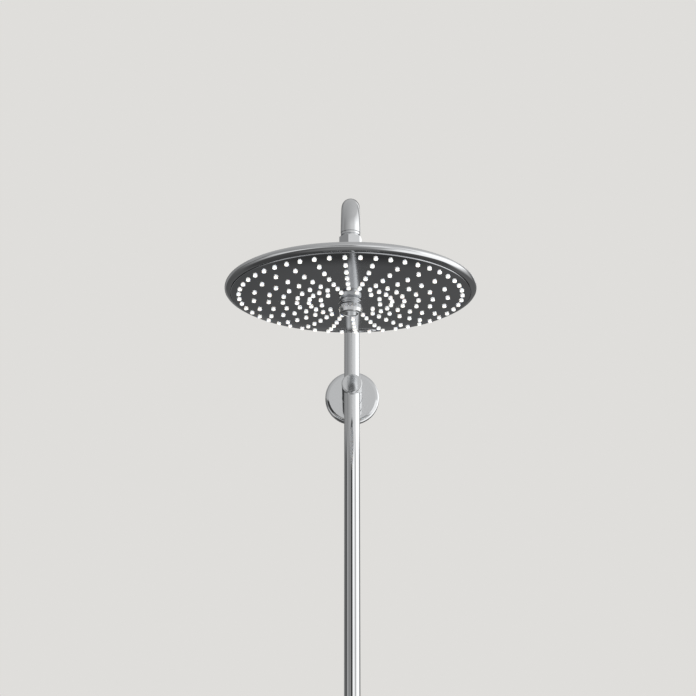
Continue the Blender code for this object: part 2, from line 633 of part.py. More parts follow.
def spring(name, at):
    """A small compression spring between the spline adapter and the button."""
    turns, points_a_turn, coil_r, wire_r = 4, 6, 2.6, 0.35
    low, high = 6.5, 16.0
    curve = bpy.data.curves.new(name + "_path", "CURVE")
    curve.dimensions = "3D"
    curve.bevel_depth = wire_r * MM
    curve.bevel_resolution = 0
    curve.use_fill_caps = True
    spline = curve.splines.new("POLY")
    count = turns * points_a_turn + 1
    spline.points.add(count - 1)
    for i, point in enumerate(spline.points):
        angle = 2 * math.pi * i / points_a_turn
        rise = low + (high - low) * i / (count - 1)
        point.co = (coil_r * math.cos(angle) * MM, coil_r * math.sin(angle) * MM, rise * MM, 1.0)
    place(add_part(name, curve, "steel"), at)


def supply_union(side, label):
    """An offset wall union with its cover plate, nut and strainer washer."""
    wall_end = (side * INLET_X, 0, MIXER_Z + UNION_OFFSET)
    mixer_end = (side * INLET_X, 0, MIXER_Z)
    pipe_r, flange_r, flange_low, union_end = 10.3, 13.3, 31.0, 33.0
    union = rod("wall_union_" + label, pipe_r, 0, 24, "chrome", at=wall_end, along="-Y")
    outline = [(0, union_end), (flange_r, union_end), (flange_r, flange_low), (pipe_r, flange_low)]
    outline += [(pipe_r, 18), (0, 18)]
    join(union, turned("union_end_" + label, outline, "chrome", at=mixer_end, along="-Y"))
    bore(union, "wall_bore", 7.0, -2, 22, at=wall_end, along="-Y", sides=SMALL)
    bore(union, "mixer_bore", 6.8, 20, union_end + 3, at=mixer_end, along="-Y", sides=SMALL)
    nut = hex_nut("union_nut_" + label, NUT_WALL_FLATS, 28.5, 42, mixer_end, "-Y")
    bore(nut, "thread", flange_r + 0.5, flange_low - GAP, 50, at=mixer_end, along="-Y")
    bore(nut, "hole", pipe_r + 0.5, 20, 45, at=mixer_end, along="-Y")
    washer_end = STANDOFF - INLET_END - GAP
    ring("strainer_washer_" + label, 13.2, 6.0, union_end + GAP, washer_end, "rubber",
         at=mixer_end, along="-Y")
    escutcheon(label, wall_end, pipe_r + 0.6)


def escutcheon(label, at, hole_r):
    """A thin domed plate that covers the hole in the wall."""
    cover_r, depth, wall, dome_centre = 33.0, 13.0, 1.5, 12.5
    dome = arc((dome_centre, 0.0), cover_r - dome_centre, 40, 8, 2)
    outline = [(hole_r, depth)] + dome + [(cover_r, 0), (cover_r - 1.4, 0)]
    outline += [(r - 1.6, z - 0.6) for r, z in reversed(dome)] + [(hole_r, depth - wall)]
    turned("escutcheon_" + label, outline, "chrome", at=at, along="-Y", sides=ROUND)


def hose_outlet():
    """The threaded outlet for a hose under the mixer, with its check valve."""
    at = (0, -STANDOFF, MIXER_Z)
    root_r, thread_r, bore_r = 7.7, 10.3, 5.5
    top, seat, thread_top, end = -12.0, -HOSE_BOSS_END - GAP, -28.0, -40.0
    outline = [(root_r, top), (root_r, seat), (HOSE_BOSS_R, seat), (HOSE_BOSS_R, thread_top)]
    outline += [(thread_r, thread_top), (thread_r, end), (bore_r, end), (bore_r, top)]
    turned("hose_outlet", outline, "chrome", at=at)
    valve = [(0, -16), (2.5, -16), (5.1, -19), (5.1, -34), (3.0, -34), (3.0, -24), (0, -24)]
    turned("hose_check_valve", valve, "plastic", at=at, sides=SMALL)


def build():
    wall_flange()
    bracket_foot()
    riser_bracket()
    riser_tube()
    arm_tube()
    arm_elbow()
    swivel_spigot()
    arm_nipple()
    ball_nut()
    ball_stem()
    ball_seats()
    socket_collar()
    head_shell()
    spray_face()
    nozzle_mat()
    distributor_plate()
    mixer_body()
    riser_union()
    cartridges()
    for name, side in (("temperature", 1), ("flow", -1)):
        handle(name, side)
    for side, label in ((-1, "left"), (1, "right")):
        supply_union(side, label)
    hose_outlet()


build()
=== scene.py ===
"""The looks of the rainfall shower column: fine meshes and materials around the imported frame.

Outlines are in millimetres, in the row frame: the wall is the plane y = 0, the object stands out
from it towards -Y, and the origin is the centre of the back of the upper wall flange.
"""

import json
import math

import bmesh
import bpy
from mathutils import Matrix, Vector


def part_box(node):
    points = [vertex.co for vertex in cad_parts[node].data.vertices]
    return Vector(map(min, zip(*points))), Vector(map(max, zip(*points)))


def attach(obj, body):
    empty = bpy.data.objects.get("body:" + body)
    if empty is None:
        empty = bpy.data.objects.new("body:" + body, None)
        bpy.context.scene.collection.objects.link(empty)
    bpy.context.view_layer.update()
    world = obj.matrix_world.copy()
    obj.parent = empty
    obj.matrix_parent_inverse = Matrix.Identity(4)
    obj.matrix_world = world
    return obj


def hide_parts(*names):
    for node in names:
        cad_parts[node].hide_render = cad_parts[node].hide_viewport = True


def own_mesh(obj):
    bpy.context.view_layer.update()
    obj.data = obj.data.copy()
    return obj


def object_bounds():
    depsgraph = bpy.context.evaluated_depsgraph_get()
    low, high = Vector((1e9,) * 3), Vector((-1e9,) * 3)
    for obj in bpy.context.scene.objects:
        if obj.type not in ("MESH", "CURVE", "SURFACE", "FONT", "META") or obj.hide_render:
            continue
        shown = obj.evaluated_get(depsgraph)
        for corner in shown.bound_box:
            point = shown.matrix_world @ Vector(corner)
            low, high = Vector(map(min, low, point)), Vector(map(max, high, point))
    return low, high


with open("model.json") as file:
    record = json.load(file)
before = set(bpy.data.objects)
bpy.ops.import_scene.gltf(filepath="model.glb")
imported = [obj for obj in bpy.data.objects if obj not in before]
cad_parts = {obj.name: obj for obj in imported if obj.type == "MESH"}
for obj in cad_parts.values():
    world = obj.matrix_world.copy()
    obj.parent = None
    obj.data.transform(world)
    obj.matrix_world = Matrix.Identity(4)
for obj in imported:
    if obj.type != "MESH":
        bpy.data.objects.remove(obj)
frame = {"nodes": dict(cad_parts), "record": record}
CAD_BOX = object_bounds()
JOINTS = {joint["name"]: joint for joint in frame["record"]["behaviour"]["joints"]}

MM = 0.001
BALL = Vector(JOINTS["head_nod"]["pos_m"]) / MM
RISER = Vector(JOINTS["arm_swivel"]["pos_m"]) / MM
MIXER = Vector((0, RISER.y, JOINTS["temperature_turn"]["pos_m"][2] / MM))
HEAD = Vector((BALL.x, BALL.y, 0))

# Rain head
HEAD_R = 150.0
FACE_R = 142.7
FACE_THICK = 1.5
FACE_Z = -0.6
DOME_DEPTH = 6.5
DOME_POWER = 3.85
NOZZLE_RING_R = 133.2
OUTER_NOZZLES = 48
NOZZLE_ROWS = 24
ROW_RADII = (0.868, 0.734, 0.607, 0.4805, 0.372)
INNER_RADIUS = 0.27
ROW_TURN = -2.45
NOZZLE_R = 2.6
HOLE_R = 2.9

TURN_STEPS = 96
HEAD_STEPS = 256


# ---------------------------------------------------------------- mesh helpers

def corner(previous, point, following, radius, steps=6):
    """The points of an arc that rounds one corner of an outline."""
    here = Vector(point[:2])
    back, ahead = Vector(previous[:2]) - here, Vector(following[:2]) - here
    half = back.angle(ahead) / 2
    reach = min(radius / math.tan(half), 0.48 * back.length, 0.48 * ahead.length)
    radius = reach * math.tan(half)
    centre = here + (back.normalized() + ahead.normalized()).normalized() * radius / math.sin(half)
    start, end = here + back.normalized() * reach - centre, here + ahead.normalized() * reach - centre
    return [tuple(centre + start.slerp(end, i / steps).normalized() * radius) for i in range(steps + 1)]


def rounded(outline):
    """An outline whose corners with a third number are rounded to that radius."""
    points = []
    count = len(outline)
    for i, point in enumerate(outline):
        if len(point) == 3:
            points += corner(outline[i - 1], point, outline[(i + 1) % count], point[2])
        else:
            points.append(tuple(point))
    return points


def arc(centre, radius, start, end, steps):
    """Points on an arc, as (radius, height) pairs; angles in degrees from outwards to upwards."""
    angles = [math.radians(start + (end - start) * i / steps) for i in range(steps + 1)]
    return [(centre[0] + radius * math.cos(a), centre[1] + radius * math.sin(a)) for a in angles]


def turned_mesh(name, outline, steps, shape=None):
    """A closed turned mesh. shape(radius, height, angle) may change the radius at each point."""
    outline = rounded(outline)
    verts, rings = [], []
    for r, z in outline:
        if r < 1e-6:
            rings.append([len(verts)] * steps)
            verts.append((0.0, 0.0, z * MM))
            continue
        rings.append(range(len(verts), len(verts) + steps))
        for i in range(steps):
            angle = 2 * math.pi * i / steps
            radius = shape(r, z, angle) if shape else r
            verts.append((radius * math.cos(angle) * MM, radius * math.sin(angle) * MM, z * MM))
    faces = []
    closed = outline[0][0] > 1e-6
    for k in range(len(rings) if closed else len(rings) - 1):
        upper, lower = rings[k], rings[(k + 1) % len(rings)]
        for i in range(steps):
            j = (i + 1) % steps
            face = [upper[i], lower[i], lower[j], upper[j]]
            faces.append([v for n, v in enumerate(face) if v != face[n - 1]])
    mesh = bpy.data.meshes.new(name)
    mesh.from_pydata(verts, [], [face for face in faces if len(face) > 2])
    mesh.validate()
    return mesh


TURNS = {"Z": (0, (1, 0, 0)), "-Z": (180, (1, 0, 0)), "X": (90, (0, 1, 0)), "-X": (-90, (0, 1, 0)),
         "-Y": (90, (1, 0, 0)), "back right": (90, (-1, 1, 0))}


def add(name, mesh, at=(0, 0, 0), along="Z"):
    """A new object in the row frame, with its local +Z along an axis and its mesh moved there."""
    angle, axis = TURNS[along]
    turn = Matrix.Rotation(math.radians(angle), 4, Vector(axis))
    mesh.transform(Matrix.Translation(Vector(at) * MM) @ turn)
    obj = bpy.data.objects.new(name, mesh)
    bpy.context.scene.collection.objects.link(obj)
    return obj


def turned(name, outline, at=(0, 0, 0), along="Z", steps=TURN_STEPS, shape=None):
    obj = add(name, turned_mesh(name, outline, steps, shape), at, along)
    return smooth(obj)


def smooth(obj, angle=28):
    """Smooth shading with normals weighted by area, so that a long face next to a fillet mirrors true."""
    obj.data.shade_smooth()
    obj.data.set_sharp_from_angle(angle=math.radians(angle))
    weighted = obj.modifiers.new("weighted", "WEIGHTED_NORMAL")
    weighted.keep_sharp = True
    return settle(obj)


def settle(obj):
    """Apply an object's modifiers to its mesh."""
    depsgraph = bpy.context.evaluated_depsgraph_get()
    mesh = bpy.data.meshes.new_from_object(obj.evaluated_get(depsgraph))
    obj.modifiers.clear()
    obj.data = mesh
    return obj


def combine(obj, tool, operation):
    """Apply a Boolean with another object, and remove that object."""
    modifier = obj.modifiers.new("combine", "BOOLEAN")
    modifier.operation = operation
    modifier.solver = "MANIFOLD"
    modifier.object = tool
    settle(obj)
    bpy.data.objects.remove(tool, do_unlink=True)
    return smooth(obj)


def swept(name, path, radius, sides=64):
    """A round bar along a path of (y, z) points in the plane x = 0, with flat ends.

    The radius is one number, or a list with one for each point of the path."""
    radii = radius if isinstance(radius, list) else [radius] * len(path)
    verts, faces = [], []
    for i, (y, z) in enumerate(path):
        before, after = path[max(i - 1, 0)], path[min(i + 1, len(path) - 1)]
        forward = Vector((0, after[0] - before[0], after[1] - before[1])).normalized()
        side, up = Vector((1, 0, 0)), Vector((1, 0, 0)).cross(forward)
        for k in range(sides):
            angle = 2 * math.pi * k / sides
            offset = (side * math.cos(angle) - up * math.sin(angle)) * radii[i]
            verts.append((Vector((0, y, z)) + offset) * MM)
    for i in range(len(path) - 1):
        for k in range(sides):
            j = (k + 1) % sides
            faces.append([i * sides + k, i * sides + j, (i + 1) * sides + j, (i + 1) * sides + k])
    faces.append(list(range(sides - 1, -1, -1)))
    faces.append([(len(path) - 1) * sides + k for k in range(sides)])
    mesh = bpy.data.meshes.new(name)
    mesh.from_pydata(verts, [], faces)
    bm = bmesh.new()
    bm.from_mesh(mesh)
    bmesh.ops.recalc_face_normals(bm, faces=bm.faces)
    bm.to_mesh(mesh)
    bm.free()
    return smooth(add(name, mesh))


# ---------------------------------------------------------------- materials

def node_material(name, colour, roughness, metallic=0.0):
    material = bpy.data.materials.new(name)
    material.use_nodes = True
    shader = material.node_tree.nodes["Principled BSDF"]
    shader.inputs["Base Color"].default_value = (*colour, 1.0)
    shader.inputs["Roughness"].default_value = roughness
    shader.inputs["Metallic"].default_value = metallic
    return material, material.node_tree, shader


def new_node(tree, kind, **values):
    """A node with its properties, or its inputs where the name is an input's, set to values."""
    node = tree.nodes.new(kind)
    for key, value in values.items():
        label = key.replace("_", " ")
        if label in node.inputs:
            node.inputs[label].default_value = value
        else:
            setattr(node, key, value)
    return node


def noise(tree, scale, detail=3.0, roughness=0.5, stretch=(1, 1, 1)):
    """Noise in the object's own space, stretched along an axis where asked."""
    place = new_node(tree, "ShaderNodeTexCoord")
    mapping = new_node(tree, "ShaderNodeMapping")
    mapping.inputs["Scale"].default_value = stretch
    tree.links.new(place.outputs["Object"], mapping.inputs["Vector"])
    texture = new_node(tree, "ShaderNodeTexNoise", Scale=scale, Detail=detail, Roughness=roughness)
    tree.links.new(mapping.outputs["Vector"], texture.inputs["Vector"])
    return texture


def spread(tree, source, low, high, start=0.3, end=0.7):
    """A number that goes from low to high as the source goes from start to end."""
    node = new_node(tree, "ShaderNodeMapRange")
    node.inputs["From Min"].default_value = start
    node.inputs["From Max"].default_value = end
    node.inputs["To Min"].default_value = low
    node.inputs["To Max"].default_value = high
    tree.links.new(source, node.inputs["Value"])
    return node.outputs["Result"]


def tint(tree, source, dark, light, start=0.3, end=0.7):
    ramp = new_node(tree, "ShaderNodeValToRGB")
    ramp.color_ramp.elements[0].position = start
    ramp.color_ramp.elements[0].color = (*dark, 1.0)
    ramp.color_ramp.elements[1].position = end
    ramp.color_ramp.elements[1].color = (*light, 1.0)
    tree.links.new(source, ramp.inputs["Fac"])
    return ramp.outputs["Color"]


def bump(tree, shader, source, strength, distance):
    node = new_node(tree, "ShaderNodeBump", Strength=strength, Distance=distance)
    tree.links.new(source, node.inputs["Height"])
    tree.links.new(node.outputs["Normal"], shader.inputs["Normal"])


def chrome(name, dark, light, gloss=(0.03, 0.07)):
    """Polished plate: nearly clean, with faint wiped haze and dried water spots."""
    material, tree, shader = node_material(name, light, gloss[0], 1.0)
    haze = noise(tree, 9.0, detail=4.0, stretch=(1, 1, 0.35))
    tree.links.new(tint(tree, haze.outputs["Fac"], dark, light), shader.inputs["Base Color"])
    spots = new_node(tree, "ShaderNodeTexVoronoi", Scale=230.0)
    place = new_node(tree, "ShaderNodeTexCoord")
    tree.links.new(place.outputs["Object"], spots.inputs["Vector"])
    ringed = spread(tree, spots.outputs["Distance"], 0.05, 0.0, 0.05, 0.16)
    wiped = spread(tree, haze.outputs["Fac"], *gloss)
    total = new_node(tree, "ShaderNodeMath", operation="ADD")
    tree.links.new(ringed, total.inputs[0])
    tree.links.new(wiped, total.inputs[1])
    tree.links.new(total.outputs["Value"], shader.inputs["Roughness"])
    ripple = noise(tree, 14.0, detail=1.0)
    bump(tree, shader, ripple.outputs["Fac"], 0.02, 0.0002)
    return material


def silicone(name):
    material, tree, shader = node_material(name, (0.93, 0.93, 0.92), 0.42)
    shader.inputs["Subsurface Weight"].default_value = 0.25
    shader.inputs["Subsurface Radius"].default_value = (0.004, 0.0035, 0.003)
    shader.inputs["Specular IOR Level"].default_value = 0.45
    mottle = noise(tree, 140.0)
    colour = tint(tree, mottle.outputs["Fac"], (0.88, 0.88, 0.87), (0.95, 0.95, 0.945))
    tree.links.new(colour, shader.inputs["Base Color"])
    tree.links.new(spread(tree, mottle.outputs["Fac"], 0.36, 0.52), shader.inputs["Roughness"])
    grain = noise(tree, 1500.0)
    bump(tree, shader, grain.outputs["Fac"], 0.15, 0.0001)
    return material


def turned_metal(name, dark, light, roughness):
    """Bare metal with fine tool marks."""
    material, tree, shader = node_material(name, light, roughness, 1.0)
    marks = noise(tree, 180.0, detail=2.0, stretch=(1, 1, 8))
    tree.links.new(tint(tree, marks.outputs["Fac"], dark, light), shader.inputs["Base Color"])
    polish = spread(tree, marks.outputs["Fac"], roughness - 0.07, roughness + 0.08)
    tree.links.new(polish, shader.inputs["Roughness"])
    bump(tree, shader, marks.outputs["Fac"], 0.2, 0.0001)
    return material


def moulded(name, dark, light, roughness, grain_scale=900.0):
    material, tree, shader = node_material(name, light, roughness)
    clouds = noise(tree, 60.0)
    tree.links.new(tint(tree, clouds.outputs["Fac"], dark, light), shader.inputs["Base Color"])
    polish = spread(tree, clouds.outputs["Fac"], roughness - 0.05, roughness + 0.06)
    tree.links.new(polish, shader.inputs["Roughness"])
    grain = noise(tree, grain_scale)
    bump(tree, shader, grain.outputs["Fac"], 0.2, 0.0001)
    return material


LOOKS = {
    "chrome": chrome("polished_chrome", (0.70, 0.71, 0.72), (0.78, 0.79, 0.80)),
    # The spray face uses the same chrome with a darker colour: painted shade for the dark surroundings it
    # mirrors.
    "face_chrome": chrome("face_chrome_painted_shade", (0.50, 0.51, 0.53), (0.58, 0.59, 0.60), gloss=(0.04, 0.09)),
    "silicone": silicone("white_silicone"),
    "brass": turned_metal("turned_brass", (0.52, 0.37, 0.15), (0.68, 0.50, 0.24), 0.28),
    "steel": turned_metal("plain_steel", (0.42, 0.43, 0.44), (0.58, 0.59, 0.60), 0.26),
    "plastic": moulded("black_acetal", (0.018, 0.018, 0.020), (0.032, 0.032, 0.034), 0.42),
    "rubber": moulded("black_rubber", (0.010, 0.010, 0.010), (0.022, 0.022, 0.022), 0.68),
    "button_grey": moulded("grey_button_plastic", (0.12, 0.125, 0.13), (0.17, 0.175, 0.18), 0.30, 1400.0),
}


def finish(obj, look, body, *nodes):
    """Give a piece its material, its body and the CAD nodes it stands for."""
    obj.data.materials.clear()
    obj.data.materials.append(LOOKS[look])
    if nodes:
        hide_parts(*nodes)
    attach(obj, body)
    return obj


def paint_frame_nodes():
    """Put the finished materials on the CAD nodes that stay as they are."""
    for row in frame["record"]["subparts"]:
        obj = frame["nodes"][row["node"]]
        obj.data.materials.clear()
        obj.data.materials.append(LOOKS[row["material_slot"]])


# ---------------------------------------------------------------- rain head

def face_height(radius):
    return FACE_Z - DOME_DEPTH * (1 - (radius / NOZZLE_RING_R) ** DOME_POWER)


def face_slope(radius):
    return DOME_DEPTH * DOME_POWER / NOZZLE_RING_R * (radius / NOZZLE_RING_R) ** (DOME_POWER - 1)


def nozzle_places():
    """The plan position of each nozzle about the head's axis."""
    for index in range(OUTER_NOZZLES):
        yield NOZZLE_RING_R, ROW_TURN + 360 / OUTER_NOZZLES * index
    for row in range(NOZZLE_ROWS):
        turn = ROW_TURN + 360 / NOZZLE_ROWS * row
        for part in ROW_RADII:
            yield NOZZLE_RING_R * part, turn
        if row % 2 == 1:
            yield NOZZLE_RING_R * INNER_RADIUS, turn


def head_back():
    """The head's back, hub and rolled rim."""
    hub_top, socket_r = BALL.z - 1.0, 13.4
    outline = [(13.36, hub_top), (16.0, hub_top, 0.5), (16.0, 33.0)] + arc((28.5, 35.5), 9.0, 196, 262, 8)
    outline += [(31.0, 26.4, 0.8), (31.0, 25.7, 0.4), (62.0, 24.0), (84.0, 22.0), (104.0, 19.6)]
    outline += [(120.0, 17.2), (134.0, 14.6)]
    outline += arc((144.4, 7.8), 5.6, 84, -14, 14) + arc((141.54, 13.92), 11.49, -50, -80, 6)
    outline += [(143.2, 3.4), (139.4, 3.6), (139.4, 10.8), (131.0, 13.0), (100.0, 17.8), (60.0, 21.8)]
    outline += [(7.0, 24.0, 0.6)]
    outline += arc((0, BALL.z), socket_r, -58, -5, 8)
    back = turned("rain_head_back", outline, HEAD, steps=HEAD_STEPS)
    finish(back, "chrome", "head", "head_shell")


def head_face():
    """The domed spray face with a round hole for each nozzle, and exact normals for its mirror."""
    radii = [FACE_R * math.sqrt(i / 30) for i in range(30)]
    outline = [(r, face_height(r) + FACE_THICK) for r in radii]
    outline += [(FACE_R, face_height(FACE_R) + FACE_THICK, 0.2), (FACE_R, face_height(FACE_R) - 0.1, 1.1)]
    outline += [(FACE_R - 2.0, face_height(FACE_R - 2.0))]
    outline += [(r, face_height(r)) for r in reversed(radii[:-1])]
    face = turned("rain_head_face", outline, HEAD, steps=192)
    cutter_mesh = bpy.data.meshes.new("holes")
    bm = bmesh.new()
    for radius, turn in nozzle_places():
        ray = Matrix.Rotation(math.radians(turn - 90), 4, "Z")
        spot = ray @ Matrix.Translation(Vector((radius, 0, -3)) * MM)
        bmesh.ops.create_cone(bm, cap_ends=True, segments=24, radius1=HOLE_R * MM, radius2=HOLE_R * MM,
                              depth=30 * MM, matrix=spot)
    bm.to_mesh(cutter_mesh)
    bm.free()
    combine(face, add("holes", cutter_mesh, HEAD), "DIFFERENCE")
    mirror_normals(face)
    finish(face, "face_chrome", "head", "spray_face")


def centre_boss():
    """The round boss at the middle of the face, which stands on it with a groove round its foot."""
    top = face_height(0) - 0.05
    outline = [(0, top), (13.6, top), (13.6, top - 0.8, 0.3), (11.8, top - 1.2), (11.8, top - 2.6)]
    outline += [(13.2, top - 3.0, 0.4), (14.0, top - 5.0, 0.8), (14.0, top - 9.5, 0.6)]
    outline += [(13.0, top - 13.4, 0.9), (11.4, top - 14.6, 0.9), (9.4, top - 14.6, 0.2)]
    outline += [(9.0, top - 14.1, 0.2), (0, top - 14.3)]
    finish(turned("face_centre_boss", outline, HEAD), "chrome", "head")


def mirror_normals(obj):
    """Give the dome's own faces the normals of the true dome, so that the holes don't dent its mirror."""
    mesh = obj.data
    normals = []
    for polygon in mesh.polygons:
        for loop in polygon.loop_indices:
            point = mesh.vertices[mesh.loops[loop].vertex_index].co / MM - HEAD
            radius = math.hypot(point.x, point.y)
            if abs(polygon.normal.z) < 0.9 or radius > FACE_R - 1.8:
                normals.append(polygon.normal.copy())
                continue
            slope = face_slope(radius)
            outward = Vector((point.x, point.y, 0)).normalized() if radius > 1e-6 else Vector((0, 0, 0))
            normal = (Vector((0, 0, 1)) - outward * slope).normalized()
            normals.append(normal if polygon.normal.z > 0 else -normal)
    mesh.normals_split_custom_set(normals)


def nozzles():
    """The silicone mat with all its nozzles, each with its own jet hole."""
    above = FACE_THICK + 0.6
    radii = [136.9 * math.sqrt(i / 14) for i in range(15)]
    outline = [(r, face_height(r) + above + 1.5) for r in radii]
    outline += [(r, face_height(r) + above) for r in reversed(radii)]
    mat = turned("nozzle_mat_fine", outline, HEAD, steps=96)
    tip = [(0.0, above + 0.5), (NOZZLE_R, above + 0.5), (NOZZLE_R, -0.6), (2.4, -2.0, 0.9), (0.8, -2.05, 0.2),
           (0.55, -1.6), (0.5, -0.8), (0.0, -0.6)]
    single = turned_mesh("nozzle", tip, 20)
    bm = bmesh.new()
    bm.from_mesh(mat.data)
    for radius, turn in nozzle_places():
        spot = Vector((radius, 0, face_height(radius))) * MM
        copy = single.copy()
        move = Matrix.Translation(HEAD * MM) @ Matrix.Rotation(math.radians(turn - 90), 4, "Z")
        copy.transform(move @ Matrix.Translation(spot))
        bm.from_mesh(copy)
        bpy.data.meshes.remove(copy)
    bm.to_mesh(mat.data)
    bm.free()
    bpy.data.meshes.remove(single)
    finish(smooth(mat, 40), "silicone", "head", "nozzle_mat")


def socket_collar():
    """The ring nut over the ball, with a band of grip flutes."""
    def fluted(radius, height, angle):
        band = min(max((height - 36.5) / 1.5, 0), 1) * min(max((48.5 - height) / 1.5, 0), 1)
        outer = 1 if radius > 17.5 else 0
        return radius - 0.35 * band * outer * (0.5 + 0.5 * math.cos(36 * angle))
    top = BALL.z + 8.6
    heights = [48.5 - 1.0 * i for i in range(13)]
    outline = [(11.6, top, 0.5), (14.0, top, 0.6), (19.0, BALL.z + 5.0, 0.8)] + [(19.0, z) for z in heights]
    outline += [(19.0, 33.4, 0.5), (16.4, 33.4), (16.4, BALL.z + 1)] + arc((0, BALL.z), 13.4, 5, 35, 6)
    collar = turned("socket_collar_fine", outline, HEAD, steps=288, shape=fluted)
    finish(collar, "chrome", "head", "socket_collar")


def ball_stem():
    neck, ball = 5.5, 11.0
    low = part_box("ball_stem")[1].z / MM - 2.0
    outline = [(10.2, low + 2, 0.3), (10.2, low, 0.3), (neck, low, 0.6)]
    outline += arc((0, BALL.z), ball, 60, -69, 24)
    outline += [(3.8, BALL.z - 10.0), (3.8, low + 2)]
    finish(turned("ball_stem_fine", outline, HEAD), "chrome", "arm", "ball_stem")


def hex_nut(name, flats, low, high, at, along, turn, bore_r, wall, wall_r):
    """A hexagonal nut with turned-off corners, softened edges, and a lip at its low end."""
    corner_r = flats / 2 / math.cos(math.pi / 6)
    mesh = bpy.data.meshes.new(name)
    bm = bmesh.new()
    middle = Matrix.Translation((0, 0, (low + high) / 2 * MM)) @ Matrix.Rotation(math.radians(turn), 4, "Z")
    bmesh.ops.create_cone(bm, cap_ends=True, segments=6, radius1=corner_r * MM, radius2=corner_r * MM,
                          depth=(high - low) * MM, matrix=middle)
    bmesh.ops.bevel(bm, geom=[e for e in bm.edges if abs(e.verts[0].co.z - e.verts[1].co.z) > MM],
                    offset=0.35 * MM, segments=3, profile=0.5, affect="EDGES")
    bm.to_mesh(mesh)
    bm.free()
    nut = add(name, mesh, at, along)
    face_r = flats / 2 - 0.3
    shape = [(0, high + 1), (face_r - 1.7, high + 1), (face_r, high), (corner_r + 0.4, high - 1.5),
             (corner_r + 0.4, low + 1.5), (face_r, low), (face_r - 1.7, low - 1), (0, low - 1)]
    combine(nut, add("tool", turned_mesh("tool", shape, 96), at, along), "INTERSECT")
    hole = [(0, high + 2), (bore_r, high + 2), (bore_r, low + wall), (wall_r, low + wall), (wall_r, low - 2),
            (0, low - 2)]
    return combine(nut, add("tool", turned_mesh("tool", hole, 64), at, along), "DIFFERENCE")


def nut_and_nipple():
    low, high = (corner.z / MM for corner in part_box("ball_nut"))
    nut = hex_nut("ball_nut_fine", 25.0, low, high, HEAD, "Z", -10, 10.7, 3.0, 6.1)
    finish(nut, "chrome", "arm", "ball_nut")
    foot, crest = (corner.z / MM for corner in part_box("arm_nipple"))
    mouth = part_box("arm_elbow")[0].z / MM
    outline = [(10.2, crest), (10.2, mouth - 0.3), (11.7, mouth - 0.3, 0.3), (11.7, high + 2.1, 0.4)]
    outline += [(10.4, high + 1.9), (10.4, high + 0.9), (11.5, high + 0.8, 0.2), (11.5, high + 0.3)]
    outline += [(10.2, high + 0.3), (10.2, foot), (7.0, foot), (7.0, crest)]
    finish(turned("arm_nipple_fine", outline, HEAD), "chrome", "arm", "arm_nipple")


# ---------------------------------------------------------------- arm and riser

TUBE_R = 11.0
BORE_R = 9.5
BEND_R = 41.0
ARM_Z = (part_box("arm_tube")[1].z / MM) - TUBE_R
ELBOW_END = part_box("arm_elbow")[1].y / MM


def bend(centre, start, end, steps=40):
    return arc(centre, BEND_R, start, end, steps)


def arm():
    tube_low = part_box("arm_tube")[0].z / MM
    tube_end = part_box("arm_tube")[0].y / MM
    path = [(RISER.y, tube_low), (RISER.y, 20)] + bend((RISER.y - BEND_R, ARM_Z - BEND_R), 0, 90)
    path += [(-250, ARM_Z), (tube_end, ARM_Z)]
    finish(hollow(swept("arm_tube_fine", path, TUBE_R), path, BORE_R), "chrome", "arm", "arm_tube")
    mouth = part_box("arm_elbow")[0].z / MM
    path = [(ELBOW_END, ARM_Z), (ELBOW_END - 1, ARM_Z)] + bend((HEAD.y + BEND_R, ARM_Z - BEND_R), 90, 180)
    path += [(HEAD.y, mouth + 1), (HEAD.y, mouth)]
    narrow, wide, first = TUBE_R, 11.9, 14
    radii = [narrow + (wide - narrow) * max(0, i - first) / (len(path) - 1 - first) for i in range(len(path))]
    elbow = hollow(swept("arm_elbow_fine", path, radii), path, BORE_R)
    socket = [(0, mouth + 8), (10.7, mouth + 8), (10.7, mouth - 5), (0, mouth - 5)]
    combine(elbow, add("tool", turned_mesh("tool", socket, 64), HEAD), "DIFFERENCE")
    finish(elbow, "chrome", "arm", "arm_elbow")


def hollow(obj, path, radius):
    """Bore a swept piece along its own path."""
    first, second, last, before = Vector(path[0]), Vector(path[1]), Vector(path[-1]), Vector(path[-2])
    start, end = first + (first - second).normalized() * 3, last + (last - before).normalized() * 3
    inside = [tuple(start)] + path[1:-1] + [tuple(end)]
    return combine(obj, swept("tool", inside, radius), "DIFFERENCE")


def riser():
    low, high = (corner.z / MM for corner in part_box("riser_tube"))
    outline = [(TUBE_R, high, 0.3), (TUBE_R, low + 2, 0.6), (14.0, low + 2, 0.3), (14.0, low, 0.3)]
    outline += [(BORE_R, low), (BORE_R, high)]
    finish(turned("riser_tube_fine", outline, RISER), "chrome", "column", "riser_tube")


